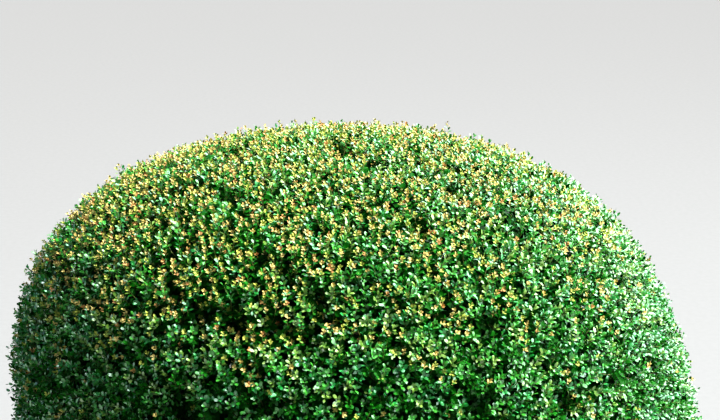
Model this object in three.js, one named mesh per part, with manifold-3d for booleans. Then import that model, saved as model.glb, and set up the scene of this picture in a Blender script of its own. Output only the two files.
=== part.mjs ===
// A Japanese holly clipped to a broad dome, standing in a plain round terracotta pot.
// Millimetres, +Z up. The origin is the middle of the pot's flat underside.
// The crown is one clipped mass: a hollow core that sprigs of small cupped leaves stand out of.
// A short trunk rises from the compost and forks into boughs that end where they enter the mass.

import * as THREE from "three";
import { mergeVertices } from "three/addons/utils/BufferGeometryUtils.js";
import Module from "manifold-3d";

const wasm = await Module();
wasm.setup();

// Driving sizes
const CLEAR = 0.3; // gap between pieces that touch
const SEED = 20240;
const UP = new THREE.Vector3(0, 0, 1);
const GOLDEN_ANGLE = Math.PI * (3 - Math.sqrt(5));

const POT = {
  height: 460,
  rimRadius: 355,
  bandHeight: 74, // depth of the collar under the rim
  bandStep: 16, // how far the collar stands out of the wall
  footRadius: 258,
  wall: 24,
  floor: 28,
  rounding: 9,
  sides: 48,
  drainRadius: 13,
  drainCircle: 130,
  drains: 3,
};

const COMPOST = { belowRim: 38, mound: 9, flatRadius: 110, rings: 5 };

const CROWN = {
  radius: 650, // to the leaf tips at the widest height
  top: 1330,
  widest: 770, // height of the widest ring
  foot: 405, // lower edge of the crown, a little under the pot's rim
  roundness: 2.6, // exponent of the superellipse above the widest ring
  tuck: 0.1, // share of the radius lost between the widest ring and the hem
  hem: 70, // rounding of the lower edge
  lean: -63, // how far the top leans along X; the hem swings the other way
  tip: 13, // how much the +X shoulder stands above the -X one
};

// Shallow swells that hand clipping leaves: waves round the crown, their height, and how far
// they turn on the way up
const SWELLS = [
  { count: 2, height: 6, twist: 0, start: 0.9 },
  { count: 3, height: 5, twist: -4, start: 2.2 },
  { count: 5, height: 4, twist: 7, start: 0 },
];

// Shallow hollows in the clipped surface: place, spread and depth
const DENTS = [
  { x: -40, y: -505, z: 1190, spread: 60, depth: 16 },
  { x: -190, y: -515, z: 1150, spread: 55, depth: 14 },
  { x: -45, y: -300, z: 1300, spread: 65, depth: 13 },
];

const CORE = {
  inset: 60, // from the leaf tips to the core's skin
  shell: 150, // thickness of the twiggy roof over the hollow
  lipWidth: 30, // thickness of the shell at its lower edge
  lipRise: 8, // how much higher the edge is on the inside
  sides: 32,
  outerRings: 11,
  crowding: 1.6, // how much closer the rings lie near the top
  innerRings: 5,
  ruffle: 11, // how unevenly the twiggy skin stands out
};

const SPRIG = {
  count: 84,
  reach: 0.985, // share of the outline that carries sprigs, from the top down
  root: 26, // depth of the twig's root inside the core
  rise: 42, // length of twig outside the core
  radius: 7,
  taper: 0.62,
  lift: 0.35, // how far shoots turn up from the surface normal
  leaves: 4,
  firstLeaf: 0.4, // places of the lowest and highest leaf along the twig's free length
  lastLeaf: 0.94,
};

// Leaves that stand straight out of the core between the sprigs
const FILLER = {
  count: 294,
  root: 9,
  turns: 8, // directions tried for each, until one keeps clear of the other leaves
  leastSlope: 26,
  mostSlope: 44,
};

const LEAF = {
  length: 104,
  width: 64,
  unevenness: 0.1, // share by which lengths differ
  tipLeaf: 0.75, // length of a sprig's highest leaf, as a share
  cup: 9, // how far the margins bend down from the midrib
  broadest: 0.56, // place of the broadest line along the length
  firstSlope: 16, // degrees that the lowest leaf rises from the crown's surface
  lastSlope: 44,
  turnStep: 3, // degrees by which a leaf that leaves the outline is laid down
  shorter: [1, 0.85, 0.7], // lengths tried, until one keeps clear of other sprigs
  leastSlope: -30,
  spread: 0.12, // how unevenly leaves stand round the twig
  potClear: 20,
};

const TRUNK = {
  foot: 38, // radius above the root flare
  head: 34,
  flare: 24, // extra radius where the roots spread
  flareFall: 26, // height over which the flare dies away
  flareLobes: 5,
  lobeDepth: 0.4, // how much deeper the flare is at a root than between two
  crowding: 1.5, // how much closer the rings lie near the ground
  height: 178,
  lean: 10,
  sides: 15,
  rings: 9,
};

// Boughs leave the trunk in two tiers: fork is above the compost, reach above the floor
const TIERS = [
  { count: 4, fork: 70, reach: 690, turn: 12 },
  { count: 3, fork: 112, reach: 905, turn: 52 },
];

const BOUGH = {
  startRadius: 15.5,
  endRadius: 8.5,
  elbowOut: 0.42, // where the limb bends, as shares of its spread and its climb
  elbowUp: 0.62,
  sides: 8,
  steps: 9,
  overrun: 35, // length lost inside the crown's core
};

const LEADER = { startRadius: 21, endRadius: 10, bow: 26, startDepth: 40 };

const FINISHES = {
  terracotta: { color: 0xa9623f, roughness: 0.85 },
  compost: { color: 0x33261b, roughness: 0.95 },
  bark: { color: 0x6b5d4c, roughness: 0.8 },
  leaf: { color: 0x3d7830, roughness: 0.4 },
};

// A small seeded random source, so that the plant is the same on every run
function seededRandom(seed) {
  let state = seed >>> 0;
  return function next() {
    state = (state + 0x6d2b79f5) >>> 0;
    let t = state;
    t = Math.imul(t ^ (t >>> 15), t | 1);
    t ^= t + Math.imul(t ^ (t >>> 7), t | 61);
    return ((t ^ (t >>> 14)) >>> 0) / 4294967296;
  };
}

// Geometry as a manifold-3d solid, with shared vertices merged
function solidOf(geometry) {
  const bare = geometry.clone();
  bare.deleteAttribute("normal");
  bare.deleteAttribute("uv");
  const merged = mergeVertices(bare, 1e-3);
  return new wasm.Manifold(
    new wasm.Mesh({
      numProp: 3,
      vertProperties: merged.attributes.position.array,
      triVerts: new Uint32Array(merged.index.array),
    }),
  );
}

function geometryOf(solid) {
  const mesh = solid.getMesh();
  const geometry = new THREE.BufferGeometry();
  geometry.setAttribute("position", new THREE.BufferAttribute(mesh.vertProperties, 3));
  geometry.setIndex(new THREE.BufferAttribute(mesh.triVerts, 1));
  geometry.computeVertexNormals();
  return geometry;
}

// A closed skin over rings of points, from one end point to the other.
// Rings run anticlockwise when seen from the last ring's side.
function skin(startPoint, rings, endPoint) {
  const sides = rings[0].length;
  const points = [startPoint, ...rings.flat(), endPoint];
  const last = points.length - 1;
  const at = (ring, side) => 1 + ring * sides + (side % sides);
  const faces = [];
  for (let side = 0; side < sides; side += 1) {
    faces.push(0, at(0, side + 1), at(0, side));
    faces.push(last, at(rings.length - 1, side), at(rings.length - 1, side + 1));
    for (let ring = 0; ring + 1 < rings.length; ring += 1) {
      faces.push(at(ring, side), at(ring, side + 1), at(ring + 1, side + 1));
      faces.push(at(ring, side), at(ring + 1, side + 1), at(ring + 1, side));
    }
  }
  const geometry = new THREE.BufferGeometry().setFromPoints(points);
  geometry.setIndex(faces);
  return geometry;
}

// A tapering limb along a curve, round in section
function limb(curve, startRadius, endRadius, sides, steps) {
  const frames = curve.computeFrenetFrames(steps, false);
  const rings = [];
  for (let step = 0; step <= steps; step += 1) {
    const share = step / steps;
    const radius = THREE.MathUtils.lerp(startRadius, endRadius, share);
    const centre = curve.getPointAt(share);
    const ring = [];
    for (let side = 0; side < sides; side += 1) {
      const angle = (2 * Math.PI * side) / sides;
      ring.push(
        centre
          .clone()
          .addScaledVector(frames.normals[step], radius * Math.cos(angle))
          .addScaledVector(frames.binormals[step], radius * Math.sin(angle)),
      );
    }
    rings.push(ring);
  }
  return skin(curve.getPointAt(0), rings, curve.getPointAt(1));
}

// A turned solid, from points (radius, height) that start and end on the axis
function turned(points, sides) {
  const profile = points.map(([radius, height]) => new THREE.Vector2(radius, height));
  return new THREE.LatheGeometry(profile, sides).rotateX(Math.PI / 2);
}

// An arc of points (radius, height), for rounded edges
function arc(radius, height, rounding, fromDegrees, toDegrees, steps) {
  const points = [];
  for (let step = 0; step <= steps; step += 1) {
    const angle = THREE.MathUtils.degToRad(
      THREE.MathUtils.lerp(fromDegrees, toDegrees, step / steps),
    );
    points.push([radius + rounding * Math.cos(angle), height + rounding * Math.sin(angle)]);
  }
  return points;
}

// The pot's outer wall radius at a height, under the collar
function potWallRadius(height) {
  const wallTop = POT.height - POT.bandHeight;
  const topRadius = POT.rimRadius - POT.bandStep;
  return THREE.MathUtils.lerp(POT.footRadius, topRadius, height / wallTop);
}

const potInnerTop = POT.rimRadius - POT.wall - POT.bandStep / 2;
const potInnerFoot = potWallRadius(POT.floor) - POT.wall;

function makePot() {
  const { height, rimRadius, bandHeight, floor, rounding, footRadius } = POT;
  const bandFoot = height - bandHeight;
  const wall = turned(
    [
      [0, 0],
      [footRadius - rounding, 0],
      ...arc(footRadius - rounding, rounding, rounding, -60, -10, 1),
      [potWallRadius(bandFoot - rounding), bandFoot - rounding],
      ...arc(rimRadius - rounding, bandFoot + rounding, rounding, -70, 0, 2),
      ...arc(rimRadius - rounding, height - rounding, rounding, 0, 90, 3),
      ...arc(potInnerTop + rounding, height - rounding, rounding, 90, 180, 2),
      [potInnerFoot, floor],
      [0, floor],
    ],
    POT.sides,
  );
  let pot = solidOf(wall);
  for (let drain = 0; drain < POT.drains; drain += 1) {
    const angle = (2 * Math.PI * drain) / POT.drains;
    const hole = new THREE.CylinderGeometry(POT.drainRadius, POT.drainRadius, 3 * floor, 12)
      .rotateX(Math.PI / 2)
      .translate(POT.drainCircle * Math.cos(angle), POT.drainCircle * Math.sin(angle), 0);
    pot = pot.subtract(solidOf(hole));
  }
  return geometryOf(pot);
}

const compostTop = POT.height - COMPOST.belowRim;

// The pot's inner wall radius at a height
function potInnerRadius(height) {
  const share = (height - POT.floor) / (POT.height - POT.rounding - POT.floor);
  return THREE.MathUtils.lerp(potInnerFoot, potInnerTop, share);
}

// The filling is mounded: flat round the trunk and lower at the pot's wall
function makeCompost() {
  const foot = POT.floor + CLEAR;
  const edge = compostTop - COMPOST.mound;
  const side = 2 * CLEAR;
  const points = [
    [0, foot],
    [potInnerRadius(foot) - side, foot],
    [potInnerRadius(edge) - side, edge],
  ];
  const outer = potInnerRadius(edge) - side;
  for (let ring = 1; ring <= COMPOST.rings; ring += 1) {
    const share = ring / COMPOST.rings;
    const rise = COMPOST.mound * Math.sin((share * Math.PI) / 2);
    points.push([THREE.MathUtils.lerp(outer, COMPOST.flatRadius, share), edge + rise]);
  }
  points.push([0, compostTop]);
  return geometryOf(solidOf(turned(points, POT.sides)));
}

// Points (radius, height) of the outline from the top down to the end of the rounded hem
function outlineProfile() {
  const { radius, top, widest, foot, roundness, tuck, hem } = CROWN;
  const points = [];
  const upperSteps = 60;
  const lowerSteps = 16;
  const hemSteps = 14;
  for (let step = 0; step <= upperSteps; step += 1) {
    const angle = (Math.PI / 2) * (1 - step / upperSteps);
    const out = Math.cos(angle) ** (2 / roundness);
    const rise = Math.sin(angle) ** (2 / roundness);
    points.push(new THREE.Vector2(step ? radius * out : 0, widest + (top - widest) * rise));
  }
  const lowerHeight = widest - foot - hem;
  const slope = Math.atan((2 * tuck * radius) / lowerHeight);
  for (let step = 1; step <= lowerSteps; step += 1) {
    const down = step / lowerSteps;
    points.push(
      new THREE.Vector2(radius * (1 - tuck * down * down), widest - lowerHeight * down),
    );
  }
  const lowest = points.at(-1);
  const hemCentre = new THREE.Vector2(
    lowest.x - hem * Math.cos(slope),
    lowest.y + hem * Math.sin(slope),
  );
  for (let step = 1; step <= hemSteps; step += 1) {
    const angle = THREE.MathUtils.lerp(-slope, -Math.PI / 2, step / hemSteps);
    points.push(
      new THREE.Vector2(
        hemCentre.x + hem * Math.cos(angle),
        hemCentre.y + hem * Math.sin(angle),
      ),
    );
  }
  return points;
}

const profile = outlineProfile();

// Outward normals (radius, height) at the profile's points
const profileNormals = profile.map((point, index) => {
  const before = profile[Math.max(index - 1, 0)];
  const after = profile[Math.min(index + 1, profile.length - 1)];
  const along = after.clone().sub(before).normalize();
  return index ? new THREE.Vector2(-along.y, along.x) : new THREE.Vector2(0, 1);
});

// Area of the outline from the top down to each profile point
const profileArea = profile.reduce((areas, point, index) => {
  if (index === 0) return [0];
  const before = profile[index - 1];
  const band = Math.PI * (point.x + before.x) * point.distanceTo(before);
  return [...areas, areas.at(-1) + band];
}, []);

// The swells at a place, in millimetres along the normal; they die away at the top and the hem
function swell(angle, height) {
  const rise = THREE.MathUtils.clamp((height - CROWN.foot) / (CROWN.top - CROWN.foot), 0, 1);
  const sum = SWELLS.reduce(
    (total, wave) =>
      total + wave.height * Math.sin(wave.count * angle + wave.twist * rise + wave.start),
    0,
  );
  return sum * Math.sin(Math.PI * rise);
}

// How far up the crown a height is: 0 at the widest ring, 1 at the top, under 0 below
const climb = (height) => (height - CROWN.widest) / (CROWN.top - CROWN.widest);

// A point of the upright outline moved to where the leaning crown has it
function leaned(radius, angle, height) {
  const x = radius * Math.cos(angle);
  const tip = CROWN.tip * (x / CROWN.radius) * Math.max(0, climb(height));
  return new THREE.Vector3(
    x + CROWN.lean * climb(height),
    radius * Math.sin(angle),
    height + tip,
  );
}

function dentDepth(point) {
  return DENTS.reduce((depth, dent) => {
    const away = point.distanceTo(new THREE.Vector3(dent.x, dent.y, dent.z)) / dent.spread;
    return depth + dent.depth * Math.exp(-(away * away) / 2);
  }, 0);
}

// A point of the crown at a place along the profile, an angle round it and a depth under it.
// The place is a fractional index into the profile.
function crownPoint(place, angle, depth) {
  const index = Math.min(Math.floor(place), profile.length - 2);
  const share = place - index;
  const flat = profile[index].clone().lerp(profile[index + 1], share);
  const normal = profileNormals[index]
    .clone()
    .lerp(profileNormals[index + 1], share)
    .normalize();
  const dent = dentDepth(leaned(flat.x, angle, flat.y));
  const out = swell(angle, flat.y) - dent - depth;
  const radius = Math.max(flat.x + normal.x * out, 0);
  return {
    point: leaned(radius, angle, flat.y + normal.y * out),
    normal: new THREE.Vector3(
      normal.x * Math.cos(angle),
      normal.x * Math.sin(angle),
      normal.y,
    ),
  };
}

// The place along the profile that has a given share of the area above it
function placeAtShare(share) {
  const wanted = share * profileArea.at(-1);
  const after = profileArea.findIndex((area) => area >= wanted);
  const index = Math.max(after - 1, 0);
  return index + (wanted - profileArea[index]) / (profileArea[index + 1] - profileArea[index]);
}

// How far a point is inside the outline: under 0 is outside
function depthInside(point) {
  const x = point.x - CROWN.lean * climb(point.z);
  const height = point.z - CROWN.tip * (x / CROWN.radius) * Math.max(0, climb(point.z));
  const across = Math.hypot(x, point.y);
  let nearest = Infinity;
  let depth = 0;
  profile.forEach((flat, index) => {
    const out = new THREE.Vector2(across - flat.x, height - flat.y);
    if (out.lengthSq() < nearest) {
      nearest = out.lengthSq();
      depth = -out.dot(profileNormals[index]);
    }
  });
  return depth + swell(Math.atan2(point.y, x), height) - dentDepth(point);
}

// The hollow inside the crown is a smaller superellipse over the core's lower lip
const hollow = {
  foot: CROWN.foot + CORE.inset + CORE.lipRise,
  roof: CROWN.top - CORE.inset - CORE.shell,
  radius: profile.at(-1).x - CORE.lipWidth,
};

// The hollow's radius at a height
function hollowRadius(height) {
  const rise = (height - hollow.foot) / (hollow.roof - hollow.foot);
  return hollow.radius * (1 - rise ** CROWN.roundness) ** (1 / CROWN.roundness);
}

// The core: the outline set in all over, with the hollow inside.
// extra makes it a little larger, to cut clear what meets it.
function coreGeometry(extra) {
  const ringOf = (makePoint) =>
    Array.from({ length: CORE.sides }, (_, side) => makePoint((2 * Math.PI * side) / CORE.sides));
  const rings = [];
  const random = seededRandom(SEED + 1);
  for (let ring = 1; ring <= CORE.outerRings; ring += 1) {
    const place = placeAtShare((ring / CORE.outerRings) ** CORE.crowding);
    const ruffle = ring < CORE.outerRings ? CORE.ruffle : 0;
    const depth = () => CORE.inset - extra + ruffle * (2 * random() - 1);
    rings.push(ringOf((angle) => crownPoint(place, angle, depth()).point));
  }
  for (let ring = 0; ring < CORE.innerRings; ring += 1) {
    const rise = Math.sin((Math.PI / 2) * (ring / CORE.innerRings)) ** (2 / CROWN.roundness);
    const height = THREE.MathUtils.lerp(hollow.foot, hollow.roof, rise);
    const radius = hollowRadius(height) - extra;
    rings.push(ringOf((angle) => leaned(radius, angle, height - extra)));
  }
  const roof = leaned(0, 0, hollow.roof - extra);
  return skin(roof, rings.reverse(), crownPoint(0, 0, CORE.inset - extra).point);
}

// One cupped leaf of six faces, from its base inside the twig to its tip
function leafGeometry(base, along, facing, length) {
  const side = along.clone().cross(facing).normalize();
  const face = side.clone().cross(along).normalize();
  const place = (forward, across, lift) =>
    base
      .clone()
      .addScaledVector(along, forward)
      .addScaledVector(side, across)
      .addScaledVector(face, lift);
  const broadest = LEAF.broadest * length;
  const halfWidth = (LEAF.width / 2) * (length / LEAF.length);
  const tipPoint = place(length, 0, -LEAF.cup / 2);
  const geometry = new THREE.BufferGeometry().setFromPoints([
    base,
    place(broadest, halfWidth, -LEAF.cup),
    tipPoint,
    place(broadest, -halfWidth, -LEAF.cup),
    place(broadest, 0, 0),
  ]);
  const [tail, right, tip, left, rib] = [0, 1, 2, 3, 4];
  const upper = [tail, right, rib, right, tip, rib, tip, left, rib, left, tail, rib];
  const under = [tail, left, right, tip, right, left];
  geometry.setIndex([...upper, ...under]);
  return { geometry, tipPoint };
}

// A three-sided twig with a flat side towards each of the directions its leaves take
function twigGeometry(root, along, across, turn) {
  const other = along.clone().cross(across).normalize();
  const first = other.clone().cross(along).normalize();
  const ringAt = (distance, radius) =>
    [0, 1, 2].map((side) => {
      const angle = turn + (2 * Math.PI * (side + 0.5)) / 3;
      return root
        .clone()
        .addScaledVector(along, distance)
        .addScaledVector(first, radius * Math.cos(angle))
        .addScaledVector(other, radius * Math.sin(angle));
    });
  const geometry = new THREE.BufferGeometry().setFromPoints([
    ...ringAt(0, SPRIG.radius),
    ...ringAt(SPRIG.root + SPRIG.rise, SPRIG.radius * SPRIG.taper),
  ]);
  const ends = [0, 2, 1, 3, 4, 5];
  const sides = [0, 1, 4, 0, 4, 3, 1, 2, 5, 1, 5, 4, 2, 0, 3, 2, 3, 5];
  geometry.setIndex([...ends, ...sides]);
  return geometry;
}

// A leaf laid down until its tip is inside the outline, or null where it meets the pot.
// It starts at base, turned round the surface normal and rising by slope degrees from it.
function fittedLeaf(base, { normal, across }, round, slope, length) {
  const upward = normal.clone().cross(across).normalize();
  for (let rise = slope; rise > LEAF.leastSlope; rise -= LEAF.turnStep) {
    const direction = across
      .clone()
      .multiplyScalar(Math.cos(round))
      .addScaledVector(upward, Math.sin(round))
      .addScaledVector(normal, Math.tan(THREE.MathUtils.degToRad(rise)))
      .normalize();
    const { geometry, tipPoint } = leafGeometry(base, direction, normal, length);
    if (depthInside(tipPoint) > 0) {
      const beside = Math.hypot(tipPoint.x, tipPoint.y) - POT.rimRadius;
      const over = tipPoint.z - POT.height;
      return Math.max(beside, over) > LEAF.potClear ? solidOf(geometry) : null;
    }
  }
  return null;
}

function unevenLength(share, random) {
  return LEAF.length * share * (1 + LEAF.unevenness * (2 * random() - 1));
}

// The first of several leaves that keeps clear of the others, if there is one
function clearLeaf(tries, others) {
  return tries.find((solid) => solid && others.intersect(solid).isEmpty());
}

// One sprig: a twig and the leaves round it
function makeSprig(seat, others, random) {
  const along = seat.normal.clone().addScaledVector(UP, SPRIG.lift).normalize();
  const root = seat.point.clone().addScaledVector(along, -SPRIG.root);
  const turn = random() * 2 * Math.PI;
  const solids = [solidOf(twigGeometry(root, along, seat.across, turn))];
  for (let leaf = 0; leaf < SPRIG.leaves; leaf += 1) {
    const share = leaf / (SPRIG.leaves - 1);
    const round = turn + ((leaf + LEAF.spread * (random() - 0.5)) * 2 * Math.PI) / 3;
    const height = SPRIG.rise * THREE.MathUtils.lerp(SPRIG.firstLeaf, SPRIG.lastLeaf, share);
    const base = root.clone().addScaledVector(along, SPRIG.root + height);
    const slope = THREE.MathUtils.lerp(LEAF.firstSlope, LEAF.lastSlope, share);
    const length = unevenLength(THREE.MathUtils.lerp(1, LEAF.tipLeaf, share), random);
    const tries = LEAF.shorter.map((part) => fittedLeaf(base, seat, round, slope, part * length));
    const solid = clearLeaf(tries, others);
    if (solid) solids.push(solid);
  }
  return wasm.Manifold.union(solids);
}

// A leaf standing out of the core, turned until it keeps clear of the others
function makeFiller(seat, others, random) {
  const base = seat.point.clone().addScaledVector(seat.normal, -FILLER.root);
  const length = unevenLength(1, random);
  const slope = THREE.MathUtils.lerp(FILLER.leastSlope, FILLER.mostSlope, random());
  const start = random();
  const tries = Array.from({ length: FILLER.turns }, (_, turn) =>
    fittedLeaf(base, seat, 2 * Math.PI * (start + turn / FILLER.turns), slope, length),
  );
  return clearLeaf(tries, others);
}

// Places spread evenly over the core's skin by the golden angle, from the top down
function seatsOn(core, count, start) {
  return Array.from({ length: count }, (_, index) => {
    const angle = start + index * GOLDEN_ANGLE;
    const place = placeAtShare(((index + 0.5) / count) * SPRIG.reach);
    const across = new THREE.Vector3(-Math.sin(angle), Math.cos(angle), 0);
    const { point, normal } = crownPoint(place, angle, 0);
    const inward = new THREE.Raycaster(point, normal.clone().negate());
    return { point: inward.intersectObject(core)[0].point, normal, across };
  });
}

// The clipped mass: the core with every sprig and filling leaf fused to it
function makeFoliage() {
  const random = seededRandom(SEED);
  const core = coreGeometry(0);
  const coreMesh = new THREE.Mesh(core);
  let sprays = wasm.Manifold.union([]);
  for (const seat of seatsOn(coreMesh, SPRIG.count, 0)) {
    sprays = sprays.add(makeSprig(seat, sprays, random));
  }
  for (const seat of seatsOn(coreMesh, FILLER.count, 1)) {
    const solid = makeFiller(seat, sprays, random);
    if (solid) sprays = sprays.add(solid);
  }
  return geometryOf(sprays.add(solidOf(core)).asOriginal().simplify(0.05));
}

// The trunk: a root flare in lobes, a slight lean and a taper up to where the boughs fork
function trunkAxis(height) {
  return new THREE.Vector3((TRUNK.lean * height) / TRUNK.height, 0, compostTop + height);
}

function trunkGeometry(extra) {
  const rings = [];
  for (let ring = 0; ring <= TRUNK.rings; ring += 1) {
    const share = (ring / TRUNK.rings) ** TRUNK.crowding;
    const height = CLEAR + share * (TRUNK.height - CLEAR);
    const centre = trunkAxis(height);
    const radius = THREE.MathUtils.lerp(TRUNK.foot, TRUNK.head, share) + extra;
    const points = [];
    for (let side = 0; side < TRUNK.sides; side += 1) {
      const angle = (2 * Math.PI * side) / TRUNK.sides;
      const lobe = 1 - TRUNK.lobeDepth * (1 - Math.cos(TRUNK.flareLobes * angle));
      const spread = TRUNK.flare * lobe * Math.exp(-height / TRUNK.flareFall);
      const out = radius + spread;
      points.push(
        new THREE.Vector3(centre.x + out * Math.cos(angle), out * Math.sin(angle), centre.z),
      );
    }
    rings.push(points);
  }
  const head = trunkAxis(TRUNK.height + extra);
  rings.at(-1).forEach((point) => point.setZ(head.z));
  return skin(trunkAxis(CLEAR), rings, head);
}

// A limb cut clear of the trunk's side and of the crown's core
function cutLimb(curve, startRadius, endRadius) {
  const tube = solidOf(limb(curve, startRadius, endRadius, BOUGH.sides, BOUGH.steps));
  const free = tube
    .subtract(solidOf(trunkGeometry(CLEAR)))
    .subtract(solidOf(coreGeometry(CLEAR)));
  const pieces = free.decompose().sort((a, b) => b.volume() - a.volume());
  return geometryOf(pieces[0]);
}

// A bough leaves the trunk, bows outward and rises to the hollow's wall
function makeBough(tier, index) {
  const angle = THREE.MathUtils.degToRad(tier.turn + (360 * index) / tier.count);
  const fork = trunkAxis(tier.fork);
  const tip = leaned(hollowRadius(tier.reach) + BOUGH.overrun, angle, tier.reach);
  const elbow = new THREE.Vector3(
    THREE.MathUtils.lerp(fork.x, tip.x, BOUGH.elbowOut),
    THREE.MathUtils.lerp(fork.y, tip.y, BOUGH.elbowOut),
    THREE.MathUtils.lerp(fork.z, tip.z, BOUGH.elbowUp),
  );
  const curve = new THREE.QuadraticBezierCurve3(fork, elbow, tip);
  return cutLimb(curve, BOUGH.startRadius, BOUGH.endRadius);
}

// The leader goes on from the trunk's head to the roof of the hollow
function makeLeader() {
  const start = trunkAxis(TRUNK.height - LEADER.startDepth);
  const tip = leaned(0, 0, hollow.roof + BOUGH.overrun);
  const middle = start
    .clone()
    .lerp(tip, 0.5)
    .add(new THREE.Vector3(LEADER.bow, -LEADER.bow, 0));
  const curve = new THREE.QuadraticBezierCurve3(start, middle, tip);
  return cutLimb(curve, LEADER.startRadius, LEADER.endRadius);
}

const finishes = {};
Object.entries(FINISHES).forEach(([name, { color, roughness }]) => {
  finishes[name] = new THREE.MeshStandardMaterial({ color, roughness, metalness: 0 });
});

function named(name, geometry, finish) {
  const mesh = new THREE.Mesh(geometry, finish);
  mesh.name = name;
  return mesh;
}

const plant = new THREE.Group();
plant.add(named("pot", makePot(), finishes.terracotta));
plant.add(named("compost", makeCompost(), finishes.compost));
plant.add(named("trunk", geometryOf(solidOf(trunkGeometry(0))), finishes.bark));
plant.add(named("leader", makeLeader(), finishes.bark));
TIERS.forEach((tier, level) => {
  for (let index = 0; index < tier.count; index += 1) {
    const name = `${level ? "upper" : "lower"}_bough_${index + 1}`;
    plant.add(named(name, makeBough(tier, index), finishes.bark));
  }
});
plant.add(named("foliage_dome", makeFoliage(), finishes.leaf));

export default plant;
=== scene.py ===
# %% [markdown]
# # A clipped Japanese holly in a terracotta pot
#
# The plant is a broad dome of small glossy leaves on a short trunk, in a plain round pot.
# The solids of the CAD model are the frame: they say where everything is. Here each of them
# gets a finished stand-in, and the crown becomes what it really is: limbs, branchlets, shoots
# and leaves of nearly life size.

# %% Load the model
import math

import bpy
import numpy as np
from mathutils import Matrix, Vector, kdtree


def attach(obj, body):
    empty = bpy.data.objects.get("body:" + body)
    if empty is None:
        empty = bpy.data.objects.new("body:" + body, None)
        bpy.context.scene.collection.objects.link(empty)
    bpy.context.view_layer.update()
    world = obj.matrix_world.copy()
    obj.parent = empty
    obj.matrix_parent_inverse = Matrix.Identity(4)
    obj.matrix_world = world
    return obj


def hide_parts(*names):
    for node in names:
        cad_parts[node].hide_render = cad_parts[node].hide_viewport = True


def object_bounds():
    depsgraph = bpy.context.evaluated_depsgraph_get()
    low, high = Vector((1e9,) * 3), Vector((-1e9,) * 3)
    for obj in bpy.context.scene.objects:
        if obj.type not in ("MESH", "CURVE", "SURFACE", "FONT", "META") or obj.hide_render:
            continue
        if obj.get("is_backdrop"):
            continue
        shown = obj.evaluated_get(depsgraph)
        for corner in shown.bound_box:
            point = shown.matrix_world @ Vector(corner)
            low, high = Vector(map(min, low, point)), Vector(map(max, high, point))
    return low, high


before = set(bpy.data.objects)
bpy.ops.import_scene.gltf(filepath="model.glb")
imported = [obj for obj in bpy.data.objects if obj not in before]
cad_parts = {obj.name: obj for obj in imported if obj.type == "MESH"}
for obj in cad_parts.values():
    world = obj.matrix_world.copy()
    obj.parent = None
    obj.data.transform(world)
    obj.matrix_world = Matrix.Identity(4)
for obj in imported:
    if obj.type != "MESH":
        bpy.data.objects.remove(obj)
cad_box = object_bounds()
print("nodes:", sorted(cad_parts))
print("CAD box:", [[round(c, 4) for c in corner] for corner in cad_box])

# %% [markdown]
# ## Camera
#
# The shrub was seen from a little above, through a longish lens. The camera's place and lens
# were found by fitting the crown's outline, so the picture can be compared with the real one.

# %% Camera
TILT_DOWN = 15.8
FOCAL_LENGTH = 82.8
camera = bpy.data.objects.new("camera", bpy.data.cameras.new("camera"))
camera.location = (-0.002, -3.038, 2.059)
camera.rotation_euler = (math.radians(90 - TILT_DOWN), 0, 0)
camera.data.lens = FOCAL_LENGTH
bpy.context.scene.collection.objects.link(camera)
bpy.context.scene.camera = camera
print("camera:", [round(c, 3) for c in camera.location], "with a lens of", FOCAL_LENGTH, "mm")

# %% [markdown]
# ## Light and floor
#
# The main light comes from the right and a little behind, as it did on the real shrub. One lamp
# can't do everything well here. A small hard sun draws crisp shadows from leaf to leaf, but in a
# waxy leaf it only burns a few white points. So the sun gives no reflections, and a wide softbox
# in the same quarter gives nothing else: each leaf that is turned to it shines evenly. A second
# softbox beside the sun softens its shadows, and a weak cool one at the left keeps the shaded
# side from going black.

# %% Lights
CROWN_MIDDLE = Vector((0, 0, 0.85))


def lamp(name, kind, azimuth, elevation, distance, energy, colour):
    """A lamp that faces the crown. Azimuth 0 is in front of it and 90 on the picture's right."""
    turn, rise = math.radians(azimuth), math.radians(elevation)
    flat = math.cos(rise)
    out = Vector((math.sin(turn) * flat, -math.cos(turn) * flat, math.sin(rise)))
    light = bpy.data.objects.new(name, bpy.data.lights.new(name, kind))
    light.location = CROWN_MIDDLE + distance * out
    light.rotation_euler = out.to_track_quat("Z", "Y").to_euler()
    light.data.energy = energy
    light.data.color = colour
    light.visible_camera = False
    bpy.context.scene.collection.objects.link(light)
    print(f"{name}: {azimuth} degrees round, {elevation} up and {distance} m away")
    return light


key = lamp(
    "key", "SUN", azimuth=106, elevation=45, distance=6, energy=10.6, colour=(1, 0.95, 0.95)
)
key.data.angle = math.radians(5)
key.visible_glossy = False
gloss = lamp(
    "gloss", "AREA", azimuth=114, elevation=36, distance=5, energy=1260, colour=(0.92, 0.96, 1)
)
gloss.data.size = 9
gloss.visible_diffuse = False
soft = lamp(
    "soft", "AREA", azimuth=100, elevation=60, distance=5.5, energy=330, colour=(0.96, 0.98, 1)
)
soft.data.size = 6
soft.visible_glossy = False
side = lamp(
    "side", "AREA", azimuth=-80, elevation=12, distance=4, energy=20, colour=(0.55, 0.8, 1)
)
side.data.size = 3.5

world = bpy.data.worlds.new("studio")
world.use_nodes = True
world.node_tree.nodes["Background"].inputs["Color"].default_value = (0.74, 0.86, 1, 1)
world.node_tree.nodes["Background"].inputs["Strength"].default_value = 0.07
bpy.context.scene.world = world
bpy.context.scene.view_settings.view_transform = "Standard"
bpy.context.scene.view_settings.look = "Medium High Contrast"

# %% [markdown]
# ## Shader helpers
#
# A finish is a node tree. Written out node by node it is long and hard to read, so two small
# helpers carry it. `Value` wraps a node's output and lets numbers be worked out with plain
# Python signs. `Finish` adds any node in one call, and lays its result on the surface.

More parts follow.
